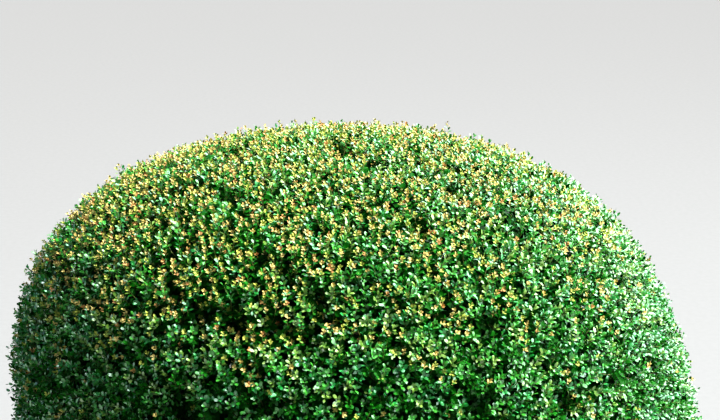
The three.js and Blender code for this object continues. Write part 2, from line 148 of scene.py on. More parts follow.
# %% Shader helpers
class Value:
    """A node's output. Sums and products on it add their Math nodes."""

    def __init__(self, finish, socket):
        self.finish = finish
        self.socket = socket

    def combine(self, operation, first, second):
        """A Math node on two values, each a number or another node's output."""
        return self.finish.add("Math", {"operation": operation}, {0: first, 1: second})

    def __add__(self, other):
        return self.combine("ADD", self, other)

    def __mul__(self, other):
        return self.combine("MULTIPLY", self, other)

    __radd__, __rmul__ = __add__, __mul__

    def __sub__(self, other):
        return self.combine("SUBTRACT", self, other)

    def __rsub__(self, other):
        return self.combine("SUBTRACT", other, self)


class Finish:
    """A material that is built one node at a time."""

    def __init__(self, name, surface=None):
        self.material = bpy.data.materials.new(name)
        self.material.use_nodes = True
        self.tree = self.material.node_tree
        self.surface = self.tree.nodes["Principled BSDF"]
        self.place = self.add("TexCoord", output="Object")
        self.set(surface or {})

    def feed(self, socket, value):
        """Links a node's output to the socket, or writes a plain value on it."""
        if isinstance(value, Value):
            self.tree.links.new(value.socket, socket)
        else:
            socket.default_value = value

    def add(self, kind, settings=None, sockets=None, output=0):
        """Any node: its settings first, then its sockets' values or links."""
        node = self.tree.nodes.new("ShaderNode" + kind)
        for name, value in (settings or {}).items():
            setattr(node, name, value)
        for name, value in (sockets or {}).items():
            self.feed(node.inputs[name], value)
        return Value(self, node.outputs[output])

    def set(self, sockets):
        """Values or links for the surface's own sockets."""
        for name, value in sockets.items():
            self.feed(self.surface.inputs[name], value)

    def look(self, colour, roughness):
        """The surface's colour and roughness, the two that every finish sets."""
        self.set({"Base Color": colour, "Roughness": roughness})

    def mix(self, mask, first, second):
        """The first colour where the mask is 0 and the second where it is 1."""
        sockets = {0: mask, 6: first, 7: second}
        return self.add("Mix", {"data_type": "RGBA"}, sockets, output=2)

    def noise(self, scale, detail=2.0, roughness=0.5, place=None):
        """A noise of about 0.5, with the given number of patches to the metre."""
        sockets = {"Vector": place or self.place, "Scale": scale}
        sockets |= {"Detail": detail, "Roughness": roughness}
        return self.add("TexNoise", None, sockets)

    def step(self, value, low, high, first=0.0, last=1.0):
        """The value's way from low to high, smoothed, as a number from first to last."""
        sockets = {0: value, 1: low, 2: high, 3: first, 4: last}
        return self.add("MapRange", {"interpolation_type": "SMOOTHSTEP"}, sockets)

    def stretched(self, scale):
        """Places for a pattern that is drawn out along some of the axes."""
        return self.add("Mapping", None, {"Vector": self.place, "Scale": scale})

    def relief(self, height, strength, distance):
        """Bumps from a height, with the distance that a height of 1 stands for in metres."""
        sockets = {"Height": height, "Strength": strength, "Distance": distance}
        self.set({"Normal": self.add("Bump", None, sockets)})

    def lay_on(self, *pieces):
        """Gives the finished material to some pieces."""
        for piece in pieces:
            piece.data.materials.append(self.material)
        names = ", ".join(piece.name for piece in pieces)
        print(f"{self.material.name}: {len(self.tree.nodes)} nodes, on {names}")


def shade(hexadecimal):
    """A colour as it is written on screens, in the linear numbers that a shader reads."""
    parts = [int(hexadecimal[i : i + 2], 16) / 255 for i in (0, 2, 4)]
    return (*[c / 12.92 if c < 0.04045 else ((c + 0.055) / 1.055) ** 2.4 for c in parts], 1)


# %% [markdown]
# The floor is a wide pale disc. A faint unevenness in its colour keeps it from looking like an
# empty page. It has no gloss, or the wide softbox would show in it as a white patch.

# %% Floor
FLOOR_RADIUS = 45
bpy.ops.object.select_all(action="DESELECT")
bpy.ops.mesh.primitive_circle_add(
    vertices=96, radius=FLOOR_RADIUS, fill_type="NGON", location=(0, 0, 0)
)
floor = bpy.context.object
floor.name = "floor"
floor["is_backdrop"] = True

floor_finish = Finish("floor_paint", {"Specular IOR Level": 0.0})
patches = floor_finish.noise(45, 3)
floor_finish.look(
    floor_finish.mix(patches, shade("868988"), shade("8c8f8e")),
    floor_finish.step(patches, 0.3, 0.7, 0.62, 0.74),
)
floor_finish.lay_on(floor)

# %% [markdown]
# ## The pot
#
# A terracotta pot is thrown on a wheel, so one closed profile says it all: the foot, the wall,
# the collar, its rounded rim and the inside. It could be a spun curve. Here a disc is extruded
# ring by ring and resized on the way, much as a potter pulls the wall up, because each step
# stays easy to read and the shell comes out closed.

# %% Profile of the pot
POT = {
    "height": 0.460,
    "rim": 0.355,
    "band": 0.074,
    "step": 0.016,
    "foot": 0.258,
    "wall": 0.024,
    "floor": 0.028,
    "rounding": 0.009,
    "groove": 0.024,
    "drain_ring": 0.130,
    "drain_radius": 0.013,
}
INNER_TOP = POT["rim"] - POT["wall"] - POT["step"] / 2


def arc(radius, height, rounding, first, last, steps):
    """Points (radius, height) of a rounded edge, between two angles in degrees."""
    angles = np.radians(np.linspace(first, last, steps))
    return [(radius + rounding * math.cos(a), height + rounding * math.sin(a)) for a in angles]


def wall_radius(height):
    """The outer wall's radius under the collar."""
    share = height / (POT["height"] - POT["band"])
    return POT["foot"] + (POT["rim"] - POT["step"] - POT["foot"]) * share


def inner_radius(height):
    """The inner wall's radius."""
    foot = wall_radius(POT["floor"]) - POT["wall"]
    share = (height - POT["floor"]) / (POT["height"] - POT["rounding"] - POT["floor"])
    return foot + (INNER_TOP - foot) * share


band_foot = POT["height"] - POT["band"]
rounding = POT["rounding"]
foot_edge = POT["foot"] - rounding
profile = [(foot_edge, 0.0), *arc(foot_edge, rounding, rounding, -60, -10, 4)]
for height in np.linspace(0.02, band_foot - rounding - 0.004, 22):
    ripple = 0.0005 * math.sin(height * 210) + 0.0003 * math.sin(height * 470)
    profile.append((wall_radius(height) + ripple, height))
profile.append((wall_radius(band_foot) + 0.001, band_foot - 0.003))
profile += arc(POT["rim"] - rounding, band_foot + rounding, rounding, -75, -5, 6)
groove = band_foot + POT["groove"]
for offset, depth in ((-0.004, 0), (-0.0015, 0.002), (0.0015, 0.002), (0.004, 0)):
    profile.append((POT["rim"] - depth, groove + offset))
profile += arc(POT["rim"] - rounding, POT["height"] - rounding, rounding, 0, 90, 7)
profile += arc(INNER_TOP + rounding, POT["height"] - rounding, rounding, 95, 175, 6)
profile += [(inner_radius(h), h) for h in np.linspace(0.44, POT["floor"] + 0.004, 9)]
profile.append((inner_radius(POT["floor"]) - 0.004, POT["floor"]))
print("pot profile of", len(profile), "points")


# %% Turn the pot
def select_only(active, *others):
    """Selects some objects and nothing else, and makes the first the active one."""
    bpy.ops.object.select_all(action="DESELECT")
    for piece in (active, *others):
        piece.select_set(True)
    bpy.context.view_layer.objects.active = active


def turned(name, profile, sides):
    """A closed turned body: a disc is extruded from ring to ring and resized on the way."""
    bpy.ops.object.select_all(action="DESELECT")
    radius, height = profile[0]
    bpy.ops.mesh.primitive_circle_add(
        vertices=sides, radius=radius, fill_type="NGON", location=(0, 0, height)
    )
    body = bpy.context.object
    body.name = name
    bpy.ops.object.transform_apply(location=True)
    bpy.ops.object.mode_set(mode="EDIT")
    bpy.ops.mesh.select_mode(type="FACE")
    bpy.ops.mesh.select_all(action="SELECT")
    for new_radius, new_height in profile[1:]:
        rise = (0, 0, new_height - height)
        bpy.ops.mesh.extrude_region_move(TRANSFORM_OT_translate={"value": rise})
        ratio = new_radius / radius
        bpy.ops.transform.resize(value=(ratio, ratio, 1), center_override=(0, 0, new_height))
        radius, height = new_radius, new_height
    bpy.ops.mesh.select_all(action="SELECT")
    bpy.ops.mesh.normals_make_consistent(inside=False)
    bpy.ops.object.mode_set(mode="OBJECT")
    return body


pot = turned("terracotta_pot", profile, 144)
print("pot:", len(pot.data.polygons), "faces")

# %% Drain holes
DRAINS = 3
for hole in range(DRAINS):
    angle = 2 * math.pi * hole / DRAINS
    x, y = POT["drain_ring"] * math.cos(angle), POT["drain_ring"] * math.sin(angle)
    bpy.ops.mesh.primitive_cylinder_add(
        vertices=32, radius=POT["drain_radius"], depth=0.08, location=(x, y, POT["floor"] / 2)
    )
    drill = bpy.context.object
    select_only(pot)
    cut = pot.modifiers.new("drain", "BOOLEAN")
    cut.object = drill
    cut.solver = "EXACT"
    bpy.ops.object.modifier_apply(modifier=cut.name)
    bpy.data.objects.remove(drill)
bpy.ops.object.shade_smooth_by_angle(angle=math.radians(35))
print("pot with drain holes:", len(pot.data.polygons), "faces")

# %% [markdown]
# Weathered terracotta is never one colour. Lime from the water blooms through it in pale
# clouds, the foot stays damp and dark, and the wheel leaves fine rings. Masks for these are
# made from noise and from the height over the floor, and then lay one colour over another.

# %% Terracotta finish
clay = Finish("terracotta_clay", {"Specular IOR Level": 0.3})
height = clay.add("SeparateXYZ", None, {"Vector": clay.place}, output=2)
mottle = clay.noise(9, 5, 0.6)
fired = clay.mix(clay.step(mottle, 0.35, 0.65), shade("b3694a"), shade("cc8663"))
cloud = clay.noise(6, 7, 0.7, clay.stretched((1, 1, 0.7)))
bloom = clay.step(cloud + 0.16 * clay.step(height, 0.25, 0.44), 0.56, 0.78, 0, 0.62)
limed = clay.mix(bloom, fired, shade("dcc8b4"))
damp = clay.step(height + 0.11 * (cloud - 0.5), 0.015, 0.1, 0.6, 0)
damped = clay.mix(damp, limed, shade("5f3a28"))
algae = clay.step(clay.noise(14, 6, 0.65), 0.52, 0.7) * clay.step(height, 0.02, 0.16, 0.5, 0)
greened = clay.mix(algae, damped, shade("5a5a34"))
grog = clay.step(clay.noise(520, 2), 0.62, 0.72, 0, 0.35)
clay.look(clay.mix(grog, greened, shade("7c4630")), 0.92 - 0.22 * damp - 0.08 * grog)
rings = clay.add(
    "TexWave",
    {"wave_type": "BANDS", "bands_direction": "Z"},
    {"Vector": clay.place, "Scale": 62, "Distortion": 1.2, "Detail": 2, "Detail Scale": 1.5},
)
clay.relief(0.4 * rings + clay.noise(130, 4, 0.6) + 0.5 * grog, 0.5, 0.0009)
clay.lay_on(pot)
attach(pot, "root")
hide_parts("pot")

# %% [markdown]
# Uneven surfaces and clumps need a field of numbers that changes smoothly from place to place.
# A sum of waves in random directions gives one, for thousands of points at once.

# %% Directions, uneven fields and the points of a mesh
WAVES = 28


def unit(vectors):
    """The vectors with a length of 1."""
    return vectors / np.maximum(np.linalg.norm(vectors, axis=-1, keepdims=True), 1e-12)


def waves(points, wavelength, seed):
    """A smooth random field over space, mostly between -2 and 2."""
    dice = np.random.default_rng(seed)
    ways = unit(dice.normal(size=(WAVES, 3))) * dice.uniform(0.7, 1.4, (WAVES, 1))
    phase = points @ ways.T * (2 * math.pi / wavelength) + dice.uniform(0, 2 * math.pi, WAVES)
    return np.cos(phase).sum(axis=1) / math.sqrt(WAVES / 2)


def read_points(mesh):
    """The places of a mesh's points, as rows of three numbers."""
    points = np.empty(len(mesh.vertices) * 3, np.float32)
    mesh.vertices.foreach_get("co", points)
    return points.reshape(-1, 3).astype(float)


def write_points(mesh, points):
    """Moves a mesh's points to new places."""
    mesh.vertices.foreach_set("co", points.astype(np.float32).ravel())
    mesh.update()


# %% [markdown]
# ## The compost
#
# The filling is mounded a little towards the trunk and crumbly on top. Its body is turned like
# the pot, then the fine rings of its top are pushed up and down by noise. Loose crumbs and
# fallen leaves are scattered over it later, as joined meshes.

# %% Compost
COMPOST_TOP = POT["height"] - 0.038
# The mound's rise, and the share of the way in on which it still rises
MOUND_RISE, MOUND_SLOPE = 0.009, 0.68
FILL_FOOT = 0.0283
FILL_GAP = 0.0006
SLACK = 0.001
FILL_EDGE = COMPOST_TOP - MOUND_RISE


def mound(share):
    """The mound's rise at a share of the way from the wall to the middle."""
    return MOUND_RISE * np.sin(np.clip(share / MOUND_SLOPE, 0, 1) * math.pi / 2)


fill = [(inner_radius(FILL_FOOT) - FILL_GAP, FILL_FOOT)]
fill += [(inner_radius(h) - FILL_GAP, h) for h in np.linspace(0.1, FILL_EDGE, 5)]
FILL_RADIUS = fill[-1][0]
for share in np.linspace(0, 1, 46)[1:]:
    fill.append((FILL_RADIUS * (1 - share) + 0.002 * share, FILL_EDGE + mound(share)))
compost = turned("compost_fill", fill, 150)


def crumbly(points, seed):
    """Heights of a crumbly surface, in metres, from several sizes of noise."""
    flat = points * [1, 1, 0]
    sizes = ((0.09, 0.0016), (0.03, 0.0012), (0.012, 0.0010), (0.006, 0.0006))
    return sum(most * waves(flat, size, seed + i) for i, (size, most) in enumerate(sizes))


def compost_height(points):
    """Height of the mound's crumbly surface over or under some points."""
    share = 1 - np.hypot(points[:, 0], points[:, 1]) / FILL_RADIUS
    return FILL_EDGE + mound(share) + crumbly(points, 30)


mesh = compost.data
points = read_points(mesh)
away = np.hypot(points[:, 0], points[:, 1])
on_top = (points[:, 2] > FILL_EDGE - SLACK) & (away < FILL_RADIUS - SLACK)
points[on_top, 2] = compost_height(points[on_top])
write_points(mesh, points)
select_only(compost)
bpy.ops.object.shade_smooth()
print("compost:", len(mesh.polygons), "faces, surface from", points[on_top, 2].min().round(4))

# %% Compost finish
soil = Finish("compost_soil", {"Specular IOR Level": 0.3})
clods = soil.noise(45, 8, 0.7)
fibre = soil.noise(400, 3, 0.6)
dark = soil.mix(soil.step(clods, 0.35, 0.65), shade("1f1610"), shade("46342a"))
pale = soil.step(fibre, 0.62, 0.74, 0, 0.45)
soil.look(soil.mix(pale, dark, shade("7d684f")), soil.step(clods, 0.3, 0.7, 0.82, 0.97))
soil.relief(clods + 0.4 * fibre, 0.8, 0.002)
soil.lay_on(compost)
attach(compost, "root")
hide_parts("compost")

# %% [markdown]
# ## The crown's outline
#
# Shears leave a simple shape: a rounded dome, a little narrower towards its rounded hem, with
# shallow swells and hollows. The same rule that shaped the solid is written again here, for
# whole arrays of points at once. Every leaf's place follows from it.

# %% Outline
CROWN = {
    "radius": 0.650,
    "top": 1.330,
    "widest": 0.770,
    "foot": 0.405,
    "roundness": 2.6,
    "tuck": 0.1,
    "hem": 0.070,
    "lean": -0.063,
    "tip": 0.013,
}
# Lobes round the crown, with their size, their twist on the way up and where they start
SWELLS = [(2, 0.006, 0, 0.9), (3, 0.005, -4, 2.2), (5, 0.004, 7, 0)]
# Hollows on the upper front, each with its middle, its spread and its depth
DENTS = [
    ((-0.040, -0.505, 1.190), 0.060, 0.016),
    ((-0.190, -0.515, 1.150), 0.055, 0.014),
    ((-0.045, -0.300, 1.300), 0.065, 0.013),
]
UPPER_POINTS, LOWER_POINTS, HEM_POINTS = 61, 16, 14
GOLDEN_ANGLE = math.pi * (3 - math.sqrt(5))
UP = np.array([0.0, 0.0, 1.0])
SUNNY = np.array([0.35, -0.45, 1.0])


def outline():
    """Points (radius, height) from the top down to the end of the rounded hem."""
    radius, widest, hem, tuck = (CROWN[key] for key in ("radius", "widest", "hem", "tuck"))
    power = 2 / CROWN["roundness"]
    angle = np.linspace(math.pi / 2, 0, UPPER_POINTS)
    upper_out = radius * np.cos(angle) ** power
    upper_out[0] = 0
    upper = np.stack([upper_out, widest + (CROWN["top"] - widest) * np.sin(angle) ** power], 1)
    drop = widest - CROWN["foot"] - hem
    down = np.linspace(0, 1, LOWER_POINTS + 1)[1:]
    lower = np.stack([radius * (1 - tuck * down**2), widest - drop * down], 1)
    slope = math.atan(2 * tuck * radius / drop)
    centre = lower[-1] - hem * np.array([math.cos(slope), -math.sin(slope)])
    angle = np.linspace(-slope, -math.pi / 2, HEM_POINTS + 1)[1:]
    rounded = centre + hem * np.stack([np.cos(angle), np.sin(angle)], 1)
    return np.concatenate([upper, lower, rounded])


PROFILE = outline()
after = np.concatenate([PROFILE[1:], PROFILE[-1:]])
before = np.concatenate([PROFILE[:1], PROFILE[:-1]])
ALONG = unit(after - before)
FACING = np.stack([-ALONG[:, 1], ALONG[:, 0]], 1)
FACING[0] = (0, 1)
STEPS = np.linalg.norm(np.diff(PROFILE, axis=0), axis=1)
AREA = np.concatenate([[0], np.cumsum(math.pi * (PROFILE[1:, 0] + PROFILE[:-1, 0]) * STEPS)])
print(f"outline of {len(PROFILE)} points, {AREA[-1]:.2f} square metres of foliage surface")


# %% Places on the crown
def climb(height):
    """0 where the crown is widest and 1 at its top."""
    return (height - CROWN["widest"]) / (CROWN["top"] - CROWN["widest"])


def leaned(radius, angle, height):
    """Points of the upright outline, moved to where the leaning crown has them."""
    x = radius * np.cos(angle)
    tip = CROWN["tip"] * (x / CROWN["radius"]) * np.maximum(0, climb(height))
    return np.stack(
        [x + CROWN["lean"] * climb(height), radius * np.sin(angle), height + tip], -1
    )


def swell(angle, height):
    """How far the shallow swells stand out of the plain dome."""
    rise = np.clip((height - CROWN["foot"]) / (CROWN["top"] - CROWN["foot"]), 0, 1)
    swells = [size * np.sin(n * angle + twist * rise + start) for n, size, twist, start in SWELLS]
    return sum(swells) * np.sin(np.pi * rise)


def dent_depth(points):
    """How deep the hollows on the upper front are at some points."""
    depth = 0
    for middle, spread, most in DENTS:
        away = np.linalg.norm(points - np.array(middle), axis=-1) / spread
        depth = depth + most * np.exp(-(away**2) / 2)
    return depth


def crown_points(place, angle, depth):
    """Points under the clipped surface, and the directions straight out of it.

    The places are fractional indices into the outline, and the angles go round it.
    """
    index = np.minimum(place.astype(int), len(PROFILE) - 2)
    share = (place - index)[:, None]
    flat = PROFILE[index] * (1 - share) + PROFILE[index + 1] * share
    facing = unit(FACING[index] * (1 - share) + FACING[index + 1] * share)
    dent = dent_depth(leaned(flat[:, 0], angle, flat[:, 1]))
    out = swell(angle, flat[:, 1]) - dent - depth
    radius = np.maximum(flat[:, 0] + facing[:, 0] * out, 0)
    points = leaned(radius, angle, flat[:, 1] + facing[:, 1] * out)
    around = np.stack([np.cos(angle), np.sin(angle)], -1)
    return points, np.concatenate([facing[:, :1] * around, facing[:, 1:]], -1)


def lattice(count, reach, start):
    """Places and angles spread evenly over the crown by the golden angle, from the top down."""
    index = np.arange(count)
    share = (index + 0.5) / count * reach
    place = np.interp(share * AREA[-1], AREA, np.arange(len(AREA)))
    return place, start + index * GOLDEN_ANGLE


# %% [markdown]
# ## Limbs
#
# A shrub repeats one rule from the trunk to the shoots: a limb leaves its parent at the nearest
# good place, bends, and ends facing the light. Each limb here is a short curve with three
# control points. All limbs of one order are kept together in arrays, because thousands of
# separate curves would be slow and could not be joined to their parents this simply.

# %% Limbs as arrays
class Limbs:
    """Limbs of one order: each bends from start by elbow to tip, from thick to thin."""

    def __init__(self, start, elbow, tip, thick, thin):
        self.start, self.elbow, self.tip = start, elbow, tip
        self.thick = np.broadcast_to(thick, len(start)).astype(float)
        self.thin = np.broadcast_to(thin, len(start)).astype(float)

    def at(self, share):
        """Points and directions at a share of each limb's way, one share for each limb."""
        t = np.broadcast_to(share, len(self.start))[:, None]
        back, ahead = self.elbow - self.start, self.tip - self.elbow
        points = (1 - t) ** 2 * self.start + 2 * t * (1 - t) * self.elbow + t**2 * self.tip
        return points, unit((1 - t) * back + t * ahead)

    def picked(self, index):
        """The limbs with these numbers, as often as each number comes."""
        ends = self.thick[index], self.thin[index]
        return Limbs(self.start[index], self.elbow[index], self.tip[index], *ends)

    def length(self):
        """Each limb's length, from its chord and its two straight legs."""
        chord = np.linalg.norm(self.tip - self.start, axis=1)
        legs = np.linalg.norm(self.elbow - self.start, axis=1)
        legs = legs + np.linalg.norm(self.tip - self.elbow, axis=1)
        return (2 * chord + legs) / 3

    def radius(self, share):
        """Each limb's radius at a share of its way."""
        return self.thick + (self.thin - self.thick) * share


def grow(parents, tips, facing, first, setback, thick, thin):
    """New limbs that end at the tips, from the nearest places on their parents.

    They leave a parent past the first share of its way, and each looks for the nearest place
    from a setback behind its tip.
    """
    shares = np.linspace(first, 1, 7)
    points = np.concatenate([parents.at(share)[0] for share in shares])
    radii = np.concatenate([parents.radius(share) for share in shares])
    tree = kdtree.KDTree(len(points))
    for index, point in enumerate(points):
        tree.insert(point, index)
    tree.balance()
    behind = tips - facing * setback
    seats = np.array([tree.find(point)[1] for point in behind])
    start = points[seats]
    span = np.linalg.norm(tips - start, axis=1, keepdims=True)
    elbow = tips - facing * span * 0.5
    thick = np.minimum(thick, 0.85 * radii[seats])
    return Limbs(start, elbow, tips, thick, np.minimum(thin, thick))


# %% The boughs that the solids show
# The solid crown's hollow: its foot, roof and radius, and how far boughs run into its wall
HOLLOW_FOOT = CROWN["foot"] + 0.068
HOLLOW_ROOF = CROWN["top"] - 0.210
HOLLOW_RADIUS = PROFILE[-1, 0] - 0.030
INTO_CROWN = 0.035
TRUNK = {
    "height": 0.178,
    "radius": 0.038,
    "taper": 0.004,
    "lean": 0.010,
    "flare": 0.024,
    "flare_height": 0.026,
    "lobes": 5,
}


def trunk_lean(height):
    """The trunk's shift to the side at a height over the compost."""
    return TRUNK["lean"] * height / TRUNK["height"]


def trunk_axis(height):
    """The middle of the trunk at a height over the compost."""
    return np.array([trunk_lean(height), 0, COMPOST_TOP + height])


def bough(fork, reach, angle):
    """Control points of one bough, by the rule of the solids."""
    rise = (reach - HOLLOW_FOOT) / (HOLLOW_ROOF - HOLLOW_FOOT)
    wall = HOLLOW_RADIUS * (1 - rise ** CROWN["roundness"]) ** (1 / CROWN["roundness"])
    start, tip = trunk_axis(fork), leaned(wall + INTO_CROWN, angle, reach)
    elbow = start + (tip - start) * np.array([0.42, 0.42, 0.62])
    return start, elbow, tip


LOWER_BOUGHS, UPPER_BOUGHS = 4, 3
# How many boughs, where they fork, how high they reach and the first one's angle
TIERS = [(LOWER_BOUGHS, 0.070, 0.690, 12), (UPPER_BOUGHS, 0.112, 0.905, 52)]
routes = []
for count, fork, reach, turn in TIERS:
    for index in range(count):
        routes.append(bough(fork, reach, math.radians(turn + 360 * index / count)))
leader_start, leader_tip = trunk_axis(0.138), leaned(0.0, 0.0, HOLLOW_ROOF + INTO_CROWN)
leader_elbow = (leader_start + leader_tip) / 2 + np.array([0.026, -0.026, 0])
routes.append((leader_start, leader_elbow, leader_tip))
thick = [0.0155] * (LOWER_BOUGHS + UPPER_BOUGHS) + [0.021]
thin = [0.0085] * (LOWER_BOUGHS + UPPER_BOUGHS) + [0.010]
boughs = Limbs(*[np.array(points) for points in zip(*routes)], thick, thin)
print("boughs and leader:", len(boughs.start), "lengths", boughs.length().round(2))

# %% [markdown]
# ## Trunk and boughs
#
# The trunk spreads into a root flare and forks into boughs. Each bough is drawn as a curve with
# a round bevel, which is how a limb would be sketched by hand. All of them are then joined and
# remeshed into one skin, because that gives the forks the soft webs of real wood, which tubes
# pushed through each other never have.

# %% Boughs as curves
def drawn_limb(name, start, elbow, tip, thick, thin):
    """A limb as a curve with a round bevel, turned into a mesh."""
    bpy.ops.object.select_all(action="DESELECT")
    bpy.ops.curve.primitive_bezier_curve_add()
    limb = bpy.context.object
    limb.name = name
    limb.data.bevel_depth = 1
    limb.data.bevel_resolution = 5
    limb.data.use_fill_caps = True
    limb.data.resolution_u = 30
    ends = limb.data.splines[0].bezier_points
    for point, place, radius in zip(ends, (start, tip), (thick, thin)):
        point.handle_left_type = point.handle_right_type = "FREE"
        ahead = (elbow - place) * 2 / 3
        point.co, point.radius = place, radius
        forward = point == ends[0]
        point.handle_right = place + ahead if forward else place - ahead
        point.handle_left = place - ahead if forward else place + ahead
    bpy.ops.object.convert(target="MESH")
    return limb


drawn = []
for index in range(len(boughs.start)):
    points = (boughs.start[index], boughs.elbow[index], boughs.tip[index])
    drawn.append(drawn_limb("bough", *points, boughs.thick[index], boughs.thin[index]))
print(len(drawn), "boughs drawn, the leader among them")

# %% Trunk
def root_flare(height):
    """How far the root flare spreads at a height over the compost."""
    return TRUNK["flare"] * math.exp(-height / TRUNK["flare_height"])


trunk_rings = [(0.066, COMPOST_TOP - 0.008)]
for share in np.linspace(0, 1, 16) ** 1.4:
    rise = share * TRUNK["height"]
    radius = TRUNK["radius"] - TRUNK["taper"] * share + root_flare(rise)
    trunk_rings.append((radius, COMPOST_TOP + rise))
trunk_rings += [(0.030, COMPOST_TOP + 0.190), (0.022, COMPOST_TOP + 0.198)]
trunk = turned("trunk_and_boughs", trunk_rings, 60)

for vertex in trunk.data.vertices:
    x, y, z = vertex.co
    rise = max(z - COMPOST_TOP, 0)
    lobe = 0.4 * (1 - math.cos(TRUNK["lobes"] * math.atan2(y, x)))
    shrink = 1 - lobe * root_flare(rise) / max(math.hypot(x, y), 0.01)
    vertex.co = (x * shrink + trunk_lean(rise), y * shrink, z)
print("trunk:", len(trunk_rings), "rings and", TRUNK["lobes"], "lobes at its foot")

# %% One skin of wood
select_only(trunk, *drawn)
bpy.ops.object.join()
skin = trunk.modifiers.new("skin", "REMESH")
skin.mode = "VOXEL"
skin.voxel_size = 0.0031
bpy.ops.object.modifier_apply(modifier=skin.name)
soften = trunk.modifiers.new("soften", "SMOOTH")
soften.factor = 0.5
soften.iterations = 5
bpy.ops.object.modifier_apply(modifier=soften.name)

mesh = trunk.data
points = read_points(mesh)
outward = np.empty(len(mesh.vertices) * 3, np.float32)
mesh.vertex_normals.foreach_get("vector", outward)
ridges = 1 - np.abs(waves(points * [1, 1, 0.22], 0.020, 51))
ridges *= np.interp(points[:, 2], [COMPOST_TOP + 0.10, COMPOST_TOP + 0.20], [1, 0.2])
relief = 0.0006 * ridges + 0.0009 * waves(points, 0.045, 52)
relief *= np.interp(points[:, 2], [COMPOST_TOP, COMPOST_TOP + 0.25], [1.4, 0.7])
points += outward.reshape(-1, 3) * relief[:, None]
write_points(mesh, points)
bpy.ops.object.shade_smooth()
print("trunk and boughs:", len(mesh.polygons), "faces")

# %% Bark finish
bark = Finish("holly_bark", {"Specular IOR Level": 0.35})
long_grain = bark.noise(60, 5, 0.6, bark.stretched((1, 1, 0.4)))
weathered = bark.mix(bark.step(long_grain, 0.32, 0.68), shade("5a4d3f"), shade("948672"))
pores = bark.step(bark.noise(170, 1, 0.5, bark.stretched((0.5, 0.5, 1.6))), 0.66, 0.74, 0, 0.7)
pored = bark.mix(pores, weathered, shade("b9ab93"))
lichen = bark.step(bark.noise(22, 5, 0.7), 0.56, 0.68, 0, 0.5)
bark.look(bark.mix(lichen, pored, shade("76805a")), bark.step(long_grain, 0.3, 0.7, 0.9, 0.7))
bark.relief(long_grain + 0.3 * pores + 0.3 * lichen, 0.7, 0.0014)
bark.lay_on(trunk)
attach(trunk, "root")
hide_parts("trunk", "leader", *[f"lower_bough_{i}" for i in range(1, 5)])
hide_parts(*[f"upper_bough_{i}" for i in range(1, 4)])

# %% [markdown]
# ## From limbs to shoots
#
# Four orders follow the boughs. Their tips lie on ever shallower copies of the outline, each
# spread by the golden angle, which leaves no gaps and no rows. The shoots' tips make the
# clipped surface. A smooth random field pulls some of them in: those are the dark hollows
# between the clumps that hand shears never reach.

# %% Helpers for the crown's depths
def ramp(values, low, high):
    """The values' way from low to high, smoothed, from 0 to 1."""
    share = np.clip((values - low) / (high - low), 0, 1)
    return share * share * (3 - 2 * share)


def scattered(directions, amount, dice):
    """The directions, each turned a little at random."""
    return unit(directions + amount * dice.normal(size=directions.shape))


def roomy(place, depth):
    """The depth, kept small where the rounded hem has no room for it."""
    hem = UPPER_POINTS + LOWER_POINTS
    return np.minimum(depth, np.interp(place, [UPPER_POINTS + 3, hem], [0.3, 0.052]))


# %% Four orders of limbs
LIMBS, BRANCHES, BRANCHLETS, SHOOTS = 28, 170, 2600, 22000
dice = np.random.default_rng(20240)
place, angle = lattice(LIMBS, 0.9, 0.4)
tips, out = crown_points(place, angle, roomy(place, 0.165))
facing = scattered(out + 0.4 * UP, 0.15, dice)
limbs = grow(boughs, tips, facing, first=0.5, setback=0.12, thick=0.0075, thin=0.0048)

place, angle = lattice(BRANCHES, 0.95, 1.1)
tips, out = crown_points(place, angle, roomy(place, 0.115 + 0.01 * dice.normal(size=BRANCHES)))
facing = scattered(out + 0.35 * UP, 0.2, dice)
branches = grow(limbs, tips, facing, first=0.3, setback=0.06, thick=0.0048, thin=0.0028)

place, angle = lattice(BRANCHLETS, 0.99, 2.3)
depth = roomy(place, 0.048 + 0.006 * dice.normal(size=BRANCHLETS))
tips, out = crown_points(place, angle, depth)
facing = scattered(out + 0.3 * UP, 0.25, dice)
branchlets = grow(branches, tips, facing, first=0.3, setback=0.04, thick=0.0026, thin=0.0015)

place, angle = lattice(SHOOTS, 1.0, 0.0)
surface, out = crown_points(place, angle, np.zeros(SHOOTS))
clumps = 0.75 * waves(surface, 0.115, 5) + 0.6 * waves(surface, 0.062, 6)
hollow = ramp(clumps, 0.8, 2.0)
gaps = ramp(waves(surface, 0.028, 12), 0.2, 1.4)
depth = 0.001 + 0.0035 * dice.normal(size=SHOOTS) + 0.036 * hollow + 0.014 * gaps
stray = dice.random(SHOOTS) < 0.006
depth = np.where(stray, -dice.uniform(0.010, 0.019, SHOOTS), np.maximum(depth, -0.006))
tips, out = crown_points(place, angle, depth)
tips = tips + 0.0038 * dice.normal(size=(SHOOTS, 3))
facing = scattered(out + 0.4 * UP, 0.32, dice)
shoots = grow(branchlets, tips, facing, first=0.35, setback=0.03, thick=0.0012, thin=0.0007)
orders = {"limbs": limbs, "branches": branches, "branchlets": branchlets, "shoots": shoots}
for name, order in orders.items():
    print(name, len(order.start), "mean length", order.length().mean().round(3))


# %% [markdown]
# Many small pieces of one kind are joined into one mesh, straight from arrays of points and
# faces. Modelling them one by one would take hours.

